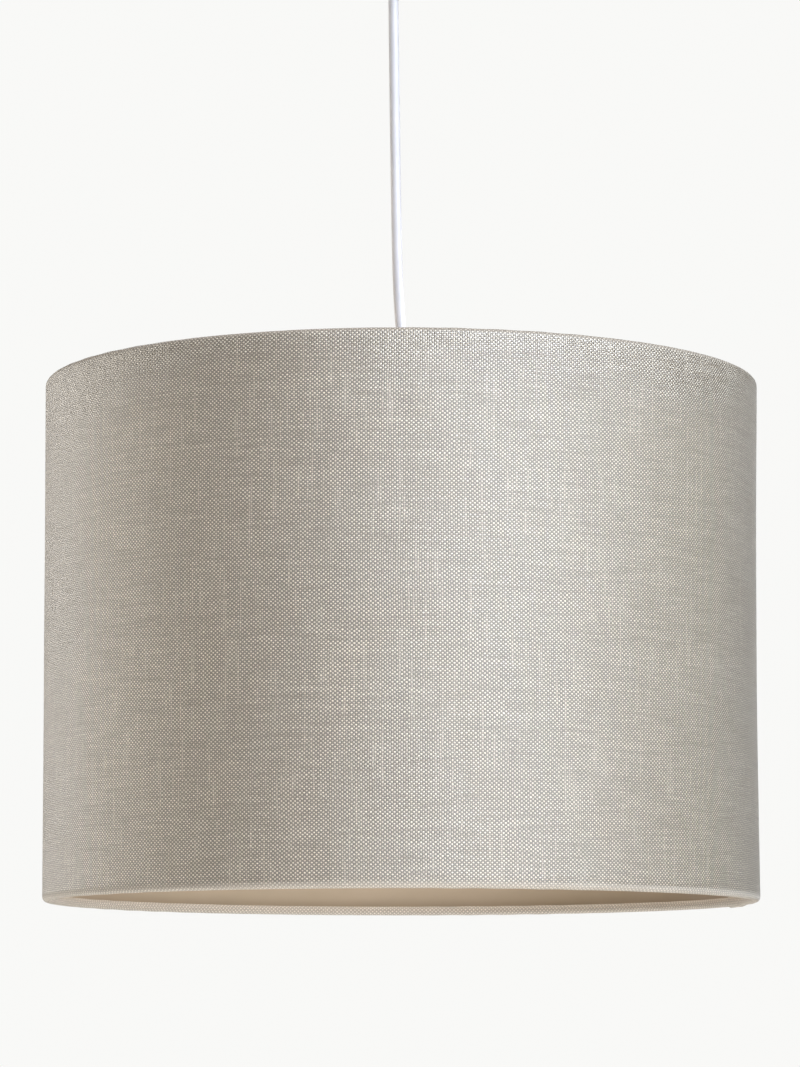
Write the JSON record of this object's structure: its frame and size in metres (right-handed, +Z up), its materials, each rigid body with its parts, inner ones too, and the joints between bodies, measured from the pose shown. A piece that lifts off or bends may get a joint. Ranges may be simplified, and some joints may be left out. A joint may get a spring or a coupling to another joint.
{
  "type": "drum lamp shade",
  "caption": "Linen drum lamp shade on a wire frame, with its lampholder, white flex and ceiling rose, hanging from a ceiling.",
  "frame": {"origin": "in the plane of the ceiling, on the vertical axis of the shade", "axes": "+Z up, normal to the ceiling; +Y to the shade's seam; X across the two fixing screws"},
  "size_m": [0.35, 0.35, 0.4938],
  "materials": {
    "linen": "oatmeal plain-weave linen, laminated",
    "styrene": "warm cream sheet",
    "white_steel": "white powder coat",
    "white_plastic": "white moulded plastic",
    "white_pvc": "white flex sheath",
    "ceramic": "pale insulating block",
    "brass": "bright",
    "steel": "zinc plated",
    "brown_core": "insulation",
    "blue_core": "insulation"
  },
  "bodies": {
    "ceiling_rose": {"rose_base": "white_plastic", "rose_screw_left": "steel", "rose_screw_right": "steel", "rose_terminal_block": "ceramic", "rose_terminal_left": "brass", "rose_terminal_right": "brass", "rose_core_left": "brown_core", "rose_core_right": "blue_core"},
    "rose_cover": {"rose_cover": "white_plastic"},
    "drop": {"flex": "white_pvc"},
    "lampholder": {"flex_tail": "white_pvc", "cord_grip": "white_plastic", "grip_screw": "steel", "holder_cap": "white_plastic", "holder_core_left": "brown_core", "holder_core_right": "blue_core", "holder_terminal_left": "brass", "holder_terminal_right": "brass", "contact_block": "ceramic", "spring_left": "steel", "spring_right": "steel", "holder_body": "white_plastic", "bayonet_sleeve": "brass"},
    "shade_ring": {"shade_ring": "white_plastic"},
    "shade": {"cover": "linen", "liner": "styrene", "top_ring": "white_steel", "bottom_ring": "white_steel", "arm_1": "white_steel", "arm_2": "white_steel", "arm_3": "white_steel", "fitter_ring": "white_steel", "reducer_ring": "white_plastic"},
    "plunger_left": {"plunger_left": "brass"},
    "plunger_right": {"plunger_right": "brass"}
  },
  "joints": [
    {"name": "rose_cover_turn", "type": "hinge", "parent": "ceiling_rose", "child": "rose_cover", "pos_m": [-0.004, 0, -0.0068], "axis": [0, 0, 1], "range_deg": [-360, 0]},
    {"name": "cord_swing", "type": "hinge", "parent": "ceiling_rose", "child": "drop", "pos_m": [-0.004, 0, -0.0285], "axis": [0, 1, 0], "range_deg": [-12, 12]},
    {"name": "holder_tilt", "type": "hinge", "parent": "drop", "child": "lampholder", "pos_m": [0, 0, -0.216], "axis": [1, 0, 0], "range_deg": [-10, 10]},
    {"name": "shade_turn", "type": "hinge", "parent": "lampholder", "child": "shade", "pos_m": [0, 0, -0.262], "axis": [0, 0, 1], "continuous": true},
    {"name": "shade_ring_turn", "type": "hinge", "parent": "lampholder", "child": "shade_ring", "pos_m": [0, 0, -0.26905], "axis": [0, 0, 1], "range_deg": [-360, 0]},
    {"name": "plunger_left_press", "type": "slide", "parent": "lampholder", "child": "plunger_left", "axis": [0, 0, 1], "range_m": [0, 0.0035], "stiffness_N_per_m": 900, "springref_m": -0.004, "deforming": ["spring_left"]},
    {"name": "plunger_right_press", "type": "slide", "parent": "lampholder", "child": "plunger_right", "axis": [0, 0, 1], "range_m": [0, 0.0035], "stiffness_N_per_m": 900, "springref_m": -0.004, "deforming": ["spring_right"]}
  ]
}
